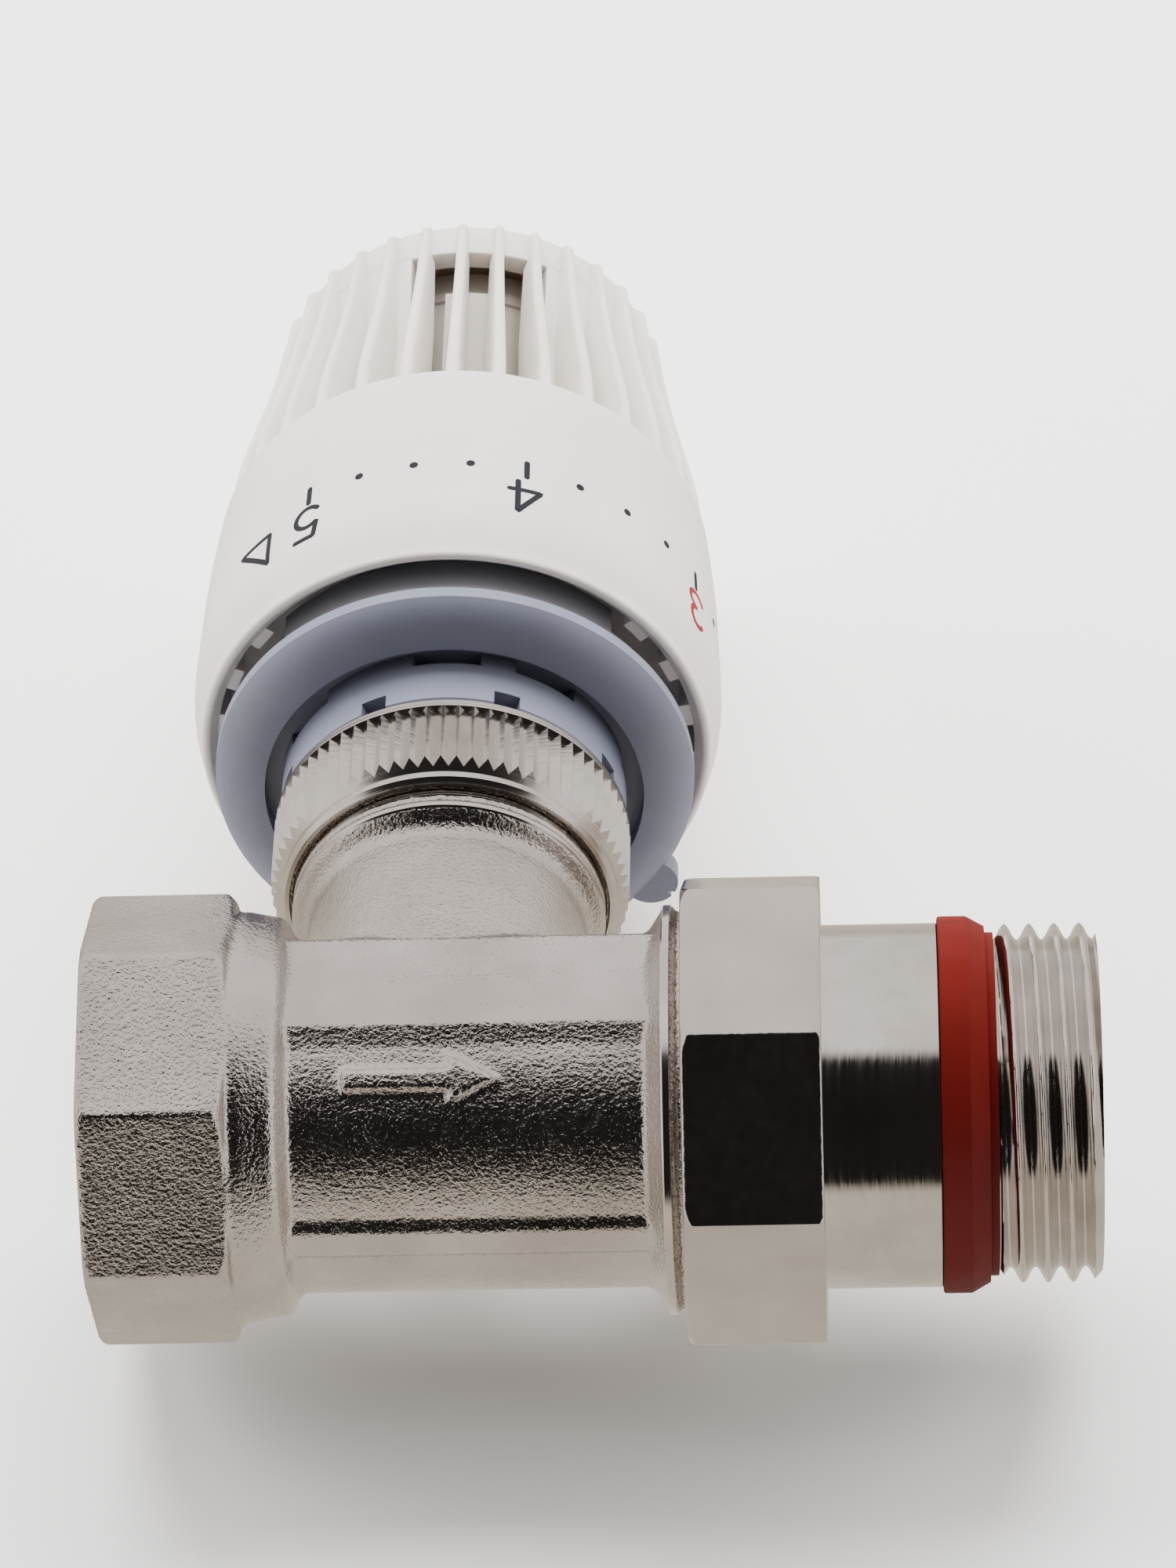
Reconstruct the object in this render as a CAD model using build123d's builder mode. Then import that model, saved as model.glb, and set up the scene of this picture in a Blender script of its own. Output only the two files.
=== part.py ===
"""Thermostatic radiator valve: a straight valve body with its tail and union nut,
a valve insert, and a thermostatic head with a ribbed setting knob.

Frame (mm): the origin is the centre of the inlet's face, on the waterway's axis.
+X is the direction of flow, +Y runs along the thermostatic head, away from the
body, and +Z is up when the head lies level.
"""
from build123d import *
import os
from math import cos, radians, sin

os.makedirs("parts", exist_ok=True)

# ---------------------------------------------------------------- driving sizes
HEAD_X = 32.0              # the head's axis along the waterway
HEAD_AXIS = Axis((HEAD_X, 0, 0), (0, 1, 0))

INLET_BORE_R = 15.15       # G1 internal thread, at its crest
INLET_DEPTH = 12.5
OCTAGON_R = 20.9           # over the corners
OCTAGON_LENGTH = 13.4
BARREL_R = 16.4
BARREL_START = 18.9
BARREL_END = 51.5
WATERWAY_R = 12.6
OUTLET_THREAD_R = 19.0     # M38 x 1.5
BODY_END = 61.7
NECK_THREAD_R = 15.0       # M30 x 1.5
NECK_TOP = 34.3
NECK_BORE_R = 10.4
SEAT_HOLE_R = 8.5
SEAT_TOP = 3.0
PAD_Z = 16.3               # the flat lands on the barrel's two sides

TAIL_START = 63.2
TAIL_END = 93.0
TAIL_R = 16.85
TAIL_THREAD_R = 16.62      # G1 external thread, at its crest
TAIL_BORE_R = 12.5
NUT_CORNER_R = 22.7
NUT_START = 54.8
NUT_END = 67.6
NUT_TURN = 28.7            # degrees that the union nut's corners stand off the head's axis

KNURL_R = 17.25
KNURL_ROOT_R = 16.55
KNURL_COUNT = 72

HUB_R = 16.8
FLANGE_R = 23.4
GUIDE_R = 16.0             # the tube that the knob turns on
GUIDE_BORE_R = 14.0
GUIDE_TOP = 72.0
POINTER_ANGLE = 126.0      # round the head, from +Z towards +X

RIB_COUNT = 32
RIB_THICKNESS = 1.2
COLLAR_TOP = 80.3
KNOB_TOP = 112.0
WINDOW_CENTRE = 5.6        # degrees, the same way as the pointer's angle
WINDOW_WIDTH = 43.0
TOOTH_COUNT = 24

RUNNING = 0.08             # radial play of the turning fits


# ---------------------------------------------------------------- helpers
def outline(points, shift=0.0):
    """A closed face in the X-Y plane, moved along X by shift."""
    with BuildSketch(Plane((shift, 0, 0))) as face:
        with BuildLine():
            Polyline(*points, close=True)
        make_face()
    return face.sketch


def head_outline(points):
    """A closed face of (radius, Y) points beside the head's axis."""
    return outline(points, HEAD_X)


def head_plane(y):
    """A plane square to the head's axis: its x is +X, its y is -Z, its normal +Y."""
    return Plane(origin=(HEAD_X, y, 0), x_dir=(1, 0, 0), z_dir=(0, 1, 0))


def round_head(radius, angle):
    """A point on a head plane at an angle measured from +Z towards +X."""
    return (radius * sin(radians(angle)), -radius * cos(radians(angle)))


def sector(reach, middle, width):
    """A wedge on a head plane, from the axis out to reach, width degrees wide."""
    rim = [round_head(reach, middle + width * step / 4 - width / 2) for step in range(5)]
    return [(0, 0), *rim]


def coil(turns, radius, wire, low, high):
    """A round-wire spring along the head's axis, its wire's centre from low to high."""
    with BuildPart() as spring:
        with BuildLine():
            path = Helix((high - low) / turns, high - low, radius, center=(HEAD_X, low, 0), direction=(0, 1, 0))
        with BuildSketch(Plane(origin=path @ 0, z_dir=path % 0)):
            Circle(wire)
        sweep(is_frenet=True)
    return spring.part


def o_ring(radius, section, y):
    """A round ring about the head's axis."""
    with BuildPart() as ring:
        with BuildSketch(Plane((HEAD_X, 0, 0))):
            with Locations((radius, y)):
                Circle(section)
        revolve(axis=HEAD_AXIS)
    return ring.part


def save(part, name):
    """Label a finished piece and write it."""
    part.label = name
    export_step(part, f"parts/{name}.step")


# ---------------------------------------------------------------- valve body
PLATE_LOW, PLATE_HIGH = -0.6, 2.2      # the level partition that carries the seat
WALL_A = (18.6, 21.4)                  # closes the upper chamber towards the inlet
WALL_B = (40.0, 43.0)                  # closes the lower chamber towards the outlet

with BuildPart() as waterway:
    revolve(outline([(INLET_DEPTH - 1, 0), (INLET_DEPTH - 1, WATERWAY_R), (BODY_END + 1, WATERWAY_R),
                     (BODY_END + 1, 0)]), axis=Axis.X)
    with BuildSketch(Plane.XY):
        with BuildLine():
            Polyline((WALL_A[0], WATERWAY_R + 1), (WALL_A[0], PLATE_LOW), (WALL_B[0], PLATE_LOW),
                     (WALL_B[0], -WATERWAY_R - 1), (WALL_B[1], -WATERWAY_R - 1), (WALL_B[1], PLATE_HIGH),
                     (WALL_A[1], PLATE_HIGH), (WALL_A[1], WATERWAY_R + 1), close=True)
        make_face()
    extrude(amount=WATERWAY_R + 1, both=True, mode=Mode.SUBTRACT)
    revolve(head_outline([(0, PLATE_HIGH), (NECK_BORE_R, PLATE_HIGH), (NECK_BORE_R, NECK_TOP + 1),
                          (0, NECK_TOP + 1)]), axis=HEAD_AXIS)
    revolve(head_outline([(0, PLATE_LOW - 1), (SEAT_HOLE_R, PLATE_LOW - 1), (SEAT_HOLE_R, PLATE_HIGH + 1),
                          (0, PLATE_HIGH + 1)]), axis=HEAD_AXIS)

ARROW_ANGLE = 125.0        # round the barrel, from +Y towards +Z
ARROW_START, ARROW_NECK, ARROW_TIP = 23.5, 33.4, 39.3
ARROW_SHAFT, ARROW_HEAD = 1.45, 2.75   # half widths at its foot
ARROW_FOOT = BARREL_R - 0.4            # above the flow axis
ARROW_HEIGHT = 0.95
arrow_normal = Vector(0, cos(radians(ARROW_ANGLE)), sin(radians(ARROW_ANGLE)))

with BuildPart() as flow_arrow:
    with BuildSketch(Plane(origin=arrow_normal * ARROW_FOOT, x_dir=(1, 0, 0), z_dir=arrow_normal)):
        with BuildLine():
            Polyline((ARROW_START, -ARROW_SHAFT), (ARROW_NECK, -ARROW_SHAFT), (ARROW_NECK, -ARROW_HEAD),
                     (ARROW_TIP, 0), (ARROW_NECK, ARROW_HEAD), (ARROW_NECK, ARROW_SHAFT),
                     (ARROW_START, ARROW_SHAFT), close=True)
        make_face()
    extrude(amount=ARROW_HEIGHT, taper=35)

with BuildPart() as valve_body:
    # the inlet octagon, its corners turned off at both ends
    with BuildSketch(Plane.YZ):
        RegularPolygon(radius=OCTAGON_R, side_count=8)
    extrude(amount=OCTAGON_LENGTH)
    revolve(outline([(0, 0), (0, OCTAGON_R - 0.6), (0.6, OCTAGON_R + 0.1), (12.5, OCTAGON_R + 0.1),
                     (OCTAGON_LENGTH, OCTAGON_R - 0.9), (OCTAGON_LENGTH, 0)]), axis=Axis.X, mode=Mode.INTERSECT)
    # collar, barrel and outlet boss with its thread and a relief groove
    revolve(outline([(12, 0), (12, 19.1), (14.6, 19.1), (17.6, 18.5), (18.1, 18.1), (BARREL_START, BARREL_R),
                     (BARREL_END, BARREL_R), (52.9, 18.5), (53.1, OUTLET_THREAD_R), (53.9, OUTLET_THREAD_R),
                     (54.2, 18.3), (55.0, 18.3), (55.3, OUTLET_THREAD_R), (61.2, OUTLET_THREAD_R),
                     (BODY_END, 18.5), (BODY_END, 0)]), axis=Axis.X)
    # flat lands along the barrel's two sides, and the ridge along its back
    with BuildSketch(Plane.YZ.offset(BARREL_START - 0.6)):
        with BuildLine():
            Polyline((-6.9, 14.8), (-4.9, PAD_Z), (6.5, PAD_Z), (8.2, 14.1), (0, 10), close=True)
        make_face()
        mirror(about=Plane.XZ)
        with BuildLine():
            Polyline((-15.9, -2.8), (-16.95, -1.3), (-16.95, 1.3), (-15.9, 2.8), (-14, 2.8), (-14, -2.8),
                     close=True)
        make_face()
    extrude(amount=BARREL_END - BARREL_START + 1.2)
    # neck, forged fillet under the thread's first turns
    with BuildSketch(Plane((HEAD_X, 0, 0))):
        with BuildLine():
            Polyline((0, 0), (14.1, 0), (14.1, 7.0), (13.7, 12.0), (13.2, 24.0))
            ThreePointArc((13.2, 24.0), (13.55, 25.1), (14.5, 25.9))
            Polyline((14.5, 25.9), (NECK_THREAD_R, 26.4), (NECK_THREAD_R, 27.0), (14.3, 27.45),
                     (NECK_THREAD_R, 27.9), (NECK_THREAD_R, 28.5), (14.3, 28.95), (NECK_THREAD_R, 29.4),
                     (NECK_THREAD_R, NECK_TOP - 0.6), (14.4, NECK_TOP), (0, NECK_TOP), (0, 0))
        make_face()
    revolve(axis=HEAD_AXIS)
    add(flow_arrow.part)
    # threaded inlet, chambers, seat
    revolve(outline([(-1, 0), (-1, INLET_BORE_R), (INLET_DEPTH, INLET_BORE_R), (INLET_DEPTH, 0)]),
            axis=Axis.X, mode=Mode.SUBTRACT)
    add(waterway.part, mode=Mode.SUBTRACT)
    revolve(head_outline([(SEAT_HOLE_R, PLATE_LOW + 0.2), (9.7, PLATE_LOW + 0.2), (9.3, SEAT_TOP),
                          (SEAT_HOLE_R + 0.2, SEAT_TOP), (SEAT_HOLE_R, SEAT_TOP - 0.2)]), axis=HEAD_AXIS)
save(valve_body.part, "valve_body")

# ---------------------------------------------------------------- valve insert
BONNET_LOW = 15.2
SPRING_SEAT = 16.2
BONNET_ROOF = 24.6
SPINDLE_R = 2.5
PIN_R = 2.0

with BuildPart() as insert_bonnet:
    revolve(head_outline([(SPINDLE_R + 0.4, BONNET_LOW), (9.7, BONNET_LOW), (9.9, BONNET_LOW + 0.2), (9.9, 20.0),
                          (10.35, 20.5), (10.35, 25.5), (8.75, 25.5),
                          (8.75, 27.4), (10.35, 27.4), (10.35, NECK_TOP), (11.4, NECK_TOP), (11.4, 35.2),
                          (10.4, 35.2), (10.4, 38.3), (5.0, 38.3), (5.0, 33.0), (3.6, 33.0), (3.6, 29.5),
                          (SPINDLE_R + 0.1, 29.5), (SPINDLE_R + 0.1, BONNET_ROOF), (8.2, BONNET_ROOF),
                          (8.2, SPRING_SEAT), (SPINDLE_R + 0.4, SPRING_SEAT)]),
            axis=HEAD_AXIS)
    with BuildSketch(head_plane(35.2)):
        RegularPolygon(radius=11.4, side_count=6)
        Circle(8.0, mode=Mode.SUBTRACT)
    extrude(amount=2.6)
save(insert_bonnet.part, "insert_bonnet")

save(o_ring(9.6, 0.78, 26.45), "insert_o_ring")

with BuildPart() as gland_nut:
    revolve(head_outline([(PIN_R + 0.1, 33.1), (4.95, 33.1), (4.95, 38.3), (PIN_R + 0.1, 38.3)]),
            axis=HEAD_AXIS)
    with BuildSketch(head_plane(38.3)):
        RegularPolygon(radius=4.9, side_count=6)
        Circle(PIN_R + 0.1, mode=Mode.SUBTRACT)
    extrude(amount=1.6)
save(gland_nut.part, "gland_nut")

gland_rings = [o_ring(2.85, 0.7, y) for y in (30.4, 32.1)]
save(Compound(children=gland_rings), "gland_o_rings")

with BuildPart() as push_pin:
    revolve(head_outline([(0, 27.0), (PIN_R, 27.0), (PIN_R, 41.3), (1.4, 42.0), (0, 42.0)]), axis=HEAD_AXIS)
save(push_pin.part, "push_pin")

CLIP_GROOVE_R = 2.0
CLIP_LOW, CLIP_HIGH = 21.3, 22.0       # the clip that the return spring lifts
with BuildPart() as spindle:
    # with a shoulder above the disc holder and the clip's groove
    revolve(head_outline([(0, 1.0), (2.1, 1.0), (SPINDLE_R, 1.4), (SPINDLE_R, 12.0), (3.3, 12.0), (3.3, 12.8),
                          (SPINDLE_R, 12.8), (SPINDLE_R, CLIP_LOW - 0.05), (CLIP_GROOVE_R, CLIP_LOW - 0.05),
                          (CLIP_GROOVE_R, CLIP_HIGH + 0.05), (SPINDLE_R, CLIP_HIGH + 0.05), (SPINDLE_R, 27.0),
                          (0, 27.0)]),
            axis=HEAD_AXIS)
save(spindle.part, "spindle")

with BuildPart() as spindle_clip:
    revolve(head_outline([(CLIP_GROOVE_R, CLIP_LOW), (5.1, CLIP_LOW), (5.1, CLIP_HIGH), (CLIP_GROOVE_R, CLIP_HIGH)]),
            axis=HEAD_AXIS)
    with BuildSketch(head_plane(CLIP_LOW - 0.1)):
        with Locations((4.0, 0)):
            Rectangle(6.0, 3.4)
    extrude(amount=1.0, mode=Mode.SUBTRACT)
save(spindle_clip.part, "spindle_clip")

with BuildPart() as disc_holder:
    revolve(head_outline([(SPINDLE_R, 7.4), (9.5, 7.4), (9.5, 8.2), (9.0, 8.7), (4.6, 8.7), (4.6, 12.0),
                          (SPINDLE_R, 12.0)]), axis=HEAD_AXIS)
save(disc_holder.part, "disc_holder")

with BuildPart() as disc_seal:
    revolve(head_outline([(SPINDLE_R, 4.9), (9.4, 4.9), (9.6, 5.1), (9.6, 7.2), (9.4, 7.4), (SPINDLE_R, 7.4)]),
            axis=HEAD_AXIS)
save(disc_seal.part, "disc_seal")

with BuildPart() as disc_washer:
    revolve(head_outline([(SPINDLE_R, 4.1), (6.8, 4.1), (7.0, 4.3), (7.0, 4.9), (SPINDLE_R, 4.9)]),
            axis=HEAD_AXIS)
save(disc_washer.part, "disc_washer")

with BuildPart() as disc_nut:
    with BuildSketch(head_plane(1.7)):
        RegularPolygon(radius=4.6, side_count=6)
        Circle(SPINDLE_R, mode=Mode.SUBTRACT)
    extrude(amount=2.4)
save(disc_nut.part, "disc_nut")

save(coil(3, 4.6, 0.35, SPRING_SEAT + 0.4, CLIP_LOW - 0.4), "return_spring")

# ---------------------------------------------------------------- tail and union nut
with BuildPart() as union_tail:
    revolve(outline([(TAIL_START, TAIL_BORE_R), (TAIL_START, 18.7), (65.3, 18.7), (65.3, TAIL_R),
                     (78.3, TAIL_R), (78.3, 15.3), (83.6, 15.3),
                     (83.9, TAIL_THREAD_R), (92.5, TAIL_THREAD_R), (TAIL_END, 15.6),
                     (TAIL_END, TAIL_BORE_R + 0.4), (TAIL_END - 0.4, TAIL_BORE_R)]), axis=Axis.X)
    # two lugs inside the bore for the fitting key
    with BuildSketch(Plane.YZ.offset(79.0)):
        with Locations((0, TAIL_BORE_R - 0.3), (0, 0.3 - TAIL_BORE_R)):
            Rectangle(3.2, 2.2)
    extrude(amount=9.0)
save(union_tail.part, "union_tail")

with BuildPart() as tail_seal:
    revolve(outline([(78.35, 15.35), (78.35, 17.3), (78.5, 17.45), (81.0, 17.45), (82.7, 16.5), (82.7, 15.9),
                     (83.5, 15.9), (83.5, 15.35)]), axis=Axis.X)
save(tail_seal.part, "tail_seal")

with BuildPart() as union_gasket:
    revolve(outline([(BODY_END + 0.1, 12.9), (BODY_END + 0.1, 18.3), (TAIL_START, 18.3), (TAIL_START, 12.9)]),
            axis=Axis.X)
save(union_gasket.part, "union_gasket")

with BuildPart() as union_nut:
    with BuildSketch(Plane.YZ.offset(NUT_START)):
        RegularPolygon(radius=NUT_CORNER_R, side_count=8, rotation=90 + NUT_TURN)
    extrude(amount=NUT_END - NUT_START)
    revolve(outline([(NUT_START, 0), (NUT_START, NUT_CORNER_R - 0.7), (NUT_START + 0.8, NUT_CORNER_R + 0.1),
                     (NUT_END - 0.4, NUT_CORNER_R + 0.1), (NUT_END, NUT_CORNER_R - 0.3), (NUT_END, 0)]),
            axis=Axis.X, mode=Mode.INTERSECT)
    revolve(outline([(NUT_START - 1, 0), (NUT_START - 1, 19.6), (NUT_START, 19.6), (NUT_START + 0.5, 19.08),
                     (65.4, OUTLET_THREAD_R + RUNNING), (65.4, TAIL_R + 0.1), (NUT_END + 1, TAIL_R + 0.1),
                     (NUT_END + 1, 0)]), axis=Axis.X, mode=Mode.SUBTRACT)
save(union_nut.part, "union_nut")

# ---------------------------------------------------------------- knurled nut of the head
NUT_LOW, NUT_HIGH = 28.7, 39.3
SLEEVE_R = 13.8

with BuildPart() as knurled_nut:
    # the knurl's star, cut down to the turned outline
    with BuildSketch(head_plane(NUT_LOW)):
        with BuildLine():
            Polyline(*[round_head(KNURL_ROOT_R if step % 2 else KNURL_R, step * 180 / KNURL_COUNT)
                       for step in range(2 * KNURL_COUNT)], close=True)
        make_face()
    extrude(amount=NUT_HIGH - NUT_LOW)
    revolve(head_outline([(0, 29.8), (16.2, 29.8), (17.3, 31.0), (17.3, 38.2), (0, 38.2)]),
            axis=HEAD_AXIS, mode=Mode.INTERSECT)
    revolve(head_outline([(0, NUT_LOW), (15.8, NUT_LOW), (16.2, NUT_LOW + 0.4), (16.2, 30.4), (16.4, 30.6),
                          (16.4, 38.0), (KNURL_R - 0.05, 38.2), (KNURL_R - 0.05, NUT_HIGH - 0.3),
                          (16.9, NUT_HIGH), (0, NUT_HIGH)]), axis=HEAD_AXIS)
    revolve(head_outline([(0, NUT_LOW - 1), (15.4, NUT_LOW - 1), (15.4, NUT_LOW), (15.08, NUT_LOW + 0.4),
                          (NECK_THREAD_R + RUNNING, 36.7), (SLEEVE_R + RUNNING, 36.7),
                          (SLEEVE_R + RUNNING, NUT_HIGH + 1), (0, NUT_HIGH + 1)]),
            axis=HEAD_AXIS, mode=Mode.SUBTRACT)
save(knurled_nut.part, "knurled_nut")

with BuildPart() as nut_retaining_ring:
    revolve(head_outline([(12.85, 35.4), (14.7, 35.4), (14.7, 36.4), (12.85, 36.4)]), axis=HEAD_AXIS)
    with BuildSketch(head_plane(35.0)):
        with Locations(round_head(14.0, 180)):
            Rectangle(7.0, 5.0)
    extrude(amount=2.0, mode=Mode.SUBTRACT)
save(nut_retaining_ring.part, "nut_retaining_ring")

# ---------------------------------------------------------------- head base
NOTCH_COUNT, NOTCH_START = 8, 21.0
SLOT_CENTRES, SLOT_WIDTH = (0.5, 35.0), 23.0   # a pair in each quarter
LUG_COUNT, LUG_WIDTH = 3, 5.0
LUG_START = 60.0
SLOT_LOW = 64.0

with BuildPart() as head_base:
    with BuildSketch(Plane((HEAD_X, 0, 0))):
        with BuildLine():
            Polyline((12.0, 34.6), (13.5, 34.6), (SLEEVE_R, 34.9), (SLEEVE_R, 35.3), (12.8, 35.3), (12.8, 36.5),
                     (SLEEVE_R, 36.5), (SLEEVE_R, 39.5), (HUB_R - 0.3, 39.5), (HUB_R, 39.8), (HUB_R, 46.6),
                     (18.5, 46.6), (18.5, 44.8))
            ThreePointArc((18.5, 44.8), (21.4, 45.3), (FLANGE_R, 47.0))
            Polyline((FLANGE_R, 47.0), (FLANGE_R, 48.3), (22.8, 48.9), (22.3, 49.6), (18.0, 49.6), (18.0, 57.8),
                     (GUIDE_R, 57.8), (GUIDE_R, 62.3), (15.2, 62.3), (15.2, 63.4), (GUIDE_R, 63.4),
                     (GUIDE_R, GUIDE_TOP), (GUIDE_BORE_R, GUIDE_TOP), (GUIDE_BORE_R, 41.5), (12.0, 39.5),
                     (12.0, 34.6))
        make_face()
    revolve(axis=HEAD_AXIS)
    # square notches at the hub's foot
    with BuildSketch(head_plane(39.5)):
        for step in range(NOTCH_COUNT):
            angle = NOTCH_START + step * 360 / NOTCH_COUNT
            with Locations(Location((*round_head(HUB_R, angle), 0), (0, 0, angle))):
                Rectangle(2.6, 3.0)
    extrude(amount=1.9, mode=Mode.SUBTRACT)
    # arc slots close under the flange
    with BuildSketch(head_plane(44.8)):
        for quarter in range(4):
            for centre in SLOT_CENTRES:
                with BuildLine():
                    Polyline(*sector(17.8, centre + 90 * quarter, SLOT_WIDTH), close=True)
                make_face()
        Circle(15.4, mode=Mode.SUBTRACT)
    extrude(amount=1.8, mode=Mode.SUBTRACT)
    # keyways that stop the sensor carrier from turning
    with BuildSketch(head_plane(SLOT_LOW)):
        for step in range(LUG_COUNT):
            angle = LUG_START + step * 360 / LUG_COUNT
            with Locations(Location((*round_head(GUIDE_R, angle), 0), (0, 0, angle))):
                Rectangle(LUG_WIDTH + 0.3, 7.0)
    extrude(amount=GUIDE_TOP - SLOT_LOW + 1, mode=Mode.SUBTRACT)
    # the index pointer at the flange's edge, with its notch
    with BuildSketch(head_plane(46.4)):
        with Locations(round_head(FLANGE_R - 0.3, POINTER_ANGLE)):
            Circle(2.7)
        with BuildLine():
            Polyline(round_head(25.0, POINTER_ANGLE), round_head(28.0, POINTER_ANGLE - 2.6),
                     round_head(28.0, POINTER_ANGLE + 2.6), close=True)
        make_face(mode=Mode.SUBTRACT)
    extrude(amount=2.2)
save(head_base.part, "head_base")

with BuildPart() as limit_ring:
    revolve(head_outline([(18.1, 49.65), (22.0, 49.65), (22.0, 54.0), (20.7, 54.0), (20.7, 50.8), (18.1, 50.8)]),
            axis=HEAD_AXIS)
    with BuildSketch(head_plane(50.8)):
        for middle in (90.0, 270.0):
            with BuildLine():
                Polyline(*sector(30.0, middle, 88.0), close=True)
            make_face()
    extrude(amount=4.0, mode=Mode.SUBTRACT)
save(limit_ring.part, "limit_ring")

with BuildPart() as knob_retaining_ring:
    revolve(head_outline([(15.25, 62.35), (17.5, 62.35), (17.5, 63.35), (15.25, 63.35)]), axis=HEAD_AXIS)
    with BuildSketch(head_plane(62.0)):
        with Locations(round_head(16.5, 0)):
            Rectangle(8.0, 5.0)
    extrude(amount=2.0, mode=Mode.SUBTRACT)
save(knob_retaining_ring.part, "knob_retaining_ring")

# ---------------------------------------------------------------- knob
SLEEVE_BORE_R = 18.6       # crest of the coarse setting thread
LEDGE_TOP = 111.1          # what the end cap rests on

with BuildPart() as rib_stock:
    with BuildSketch(Plane((HEAD_X, 0, 0))):
        with BuildLine():
            Spline((24.6, COLLAR_TOP), (23.4, 88.6), (21.8, 96.5), (20.5, 104.5), (19.9, 110.4))
            ThreePointArc((19.9, 110.4), (19.5, 111.4), (18.6, 111.8))
            Polyline((18.6, 111.8), (17.7, 107.0), (17.4, 95.0), (17.6, 82.2), (20.0, COLLAR_TOP - 0.7),
                     (24.3, COLLAR_TOP - 0.7), (24.6, COLLAR_TOP))
        make_face()
    extrude(amount=RIB_THICKNESS / 2, both=True)
rib = rib_stock.part

with BuildPart() as knob:
    # the skirt with the dial, the web and the two inner sleeves
    with BuildSketch(Plane((HEAD_X, 0, 0))):
        with BuildLine():
            Spline((25.0, 52.0), (25.8, 55.0), (25.95, 62.0), (25.6, 71.0), (24.7, COLLAR_TOP))
            Polyline((24.7, COLLAR_TOP), (19.1, 80.9), (18.3, 95.0), (18.9, 107.0), (18.9, 111.2),
                     (18.2, KNOB_TOP), (16.6, KNOB_TOP), (16.6, LEDGE_TOP), (15.6, LEDGE_TOP), (15.6, 110.2),
                     (17.0, 107.0), (16.9, 95.0), (17.0, 82.0), (18.0, 79.0), (22.4, 77.5), (23.4, 71.0),
                     (23.5, 60.0), (20.2, 60.0),
                     (20.2, 74.0), (SLEEVE_BORE_R, 74.0), (SLEEVE_BORE_R, 62.2), (GUIDE_R + 0.06, 62.2),
                     (GUIDE_R + 0.06, 58.0), (23.4, 58.0), (23.4, 52.0), (23.9, 51.3))
            ThreePointArc((23.9, 51.3), (24.6, 51.35), (25.0, 52.0))
        make_face()
    revolve(axis=HEAD_AXIS)
    # windows through the cage, then the ribs across them
    with BuildSketch(head_plane(81.6)):
        for quarter in range(4):
            with BuildLine():
                Polyline(*sector(30.0, WINDOW_CENTRE + 90 * quarter, WINDOW_WIDTH), close=True)
            make_face()
        Circle(14.0, mode=Mode.SUBTRACT)
    extrude(amount=107.0 - 81.6, mode=Mode.SUBTRACT)
    for step in range(RIB_COUNT):
        add(rib.rotate(HEAD_AXIS, step * 360 / RIB_COUNT))
    # short teeth inside the skirt's mouth, on its two sides
    with BuildSketch(head_plane(52.4)):
        for step in range(TOOTH_COUNT // 2):
            angle = (step + 0.5) * 360 / TOOTH_COUNT + (45 if step < TOOTH_COUNT // 4 else 135)
            with Locations(Location((*round_head(22.95, angle), 0), (0, 0, angle))):
                Rectangle(2.6, 1.1)
    extrude(amount=5.8)
save(knob.part, "knob")

with BuildPart() as end_cap:
    revolve(head_outline([(0, LEDGE_TOP + 0.1), (16.5, LEDGE_TOP + 0.1), (16.5, 111.9), (15.5, 112.2),
                          (6.5, 112.5), (5.8, 111.9), (0, 111.9)]), axis=HEAD_AXIS)
save(end_cap.part, "end_cap")

# ---------------------------------------------------------------- sensor and its carrier
SENSOR_R = 15.0
SENSOR_TOP = 109.0
SENSOR_WALL = 0.8
FINGER_ANGLE = 3.0         # degrees, the same way as the pointer's angle
FINGER_SPAN = 18.0

with BuildPart() as carrier_lugs:
    with BuildSketch(head_plane(66.0)):
        Circle(18.5)
    extrude(amount=4.0)
    with BuildSketch(head_plane(66.0)):
        for step in range(LUG_COUNT):
            angle = LUG_START + step * 360 / LUG_COUNT
            with Locations(Location((*round_head(16.5, angle), 0), (0, 0, angle))):
                Rectangle(LUG_WIDTH, 6.4)
    extrude(amount=4.0, mode=Mode.INTERSECT)

with BuildPart() as sensor_carrier:
    revolve(head_outline([(5.0, 52.0), (13.0, 52.0), (13.93, 53.0), (13.93, 74.2), (16.4, 74.2), (16.4, 75.5),
                          (12.4, 75.5), (12.4, 54.0), (5.0, 54.0)]), axis=HEAD_AXIS)
    with BuildSketch(head_plane(75.5)):
        Circle(16.4)
        Circle(15.3, mode=Mode.SUBTRACT)
        for quarter in range(4):
            with BuildLine():
                Polyline(*sector(30.0, FINGER_ANGLE + 45 + 90 * quarter, 90 - FINGER_SPAN), close=True)
            make_face(mode=Mode.SUBTRACT)
    extrude(amount=28.0)
    add(carrier_lugs.part)
save(sensor_carrier.part, "sensor_carrier")

with BuildPart() as sensor_can:
    revolve(head_outline([(SENSOR_R - SENSOR_WALL, 75.6), (SENSOR_R, 75.6), (SENSOR_R, 103.2), (14.75, 103.4),
                          (14.75, 104.0), (SENSOR_R, 104.2), (SENSOR_R, SENSOR_TOP - 0.5),
                          (SENSOR_R - 0.5, SENSOR_TOP), (0, SENSOR_TOP), (0, SENSOR_TOP - SENSOR_WALL),
                          (SENSOR_R - SENSOR_WALL, SENSOR_TOP - SENSOR_WALL)]), axis=HEAD_AXIS)
save(sensor_can.part, "sensor_can")

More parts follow.
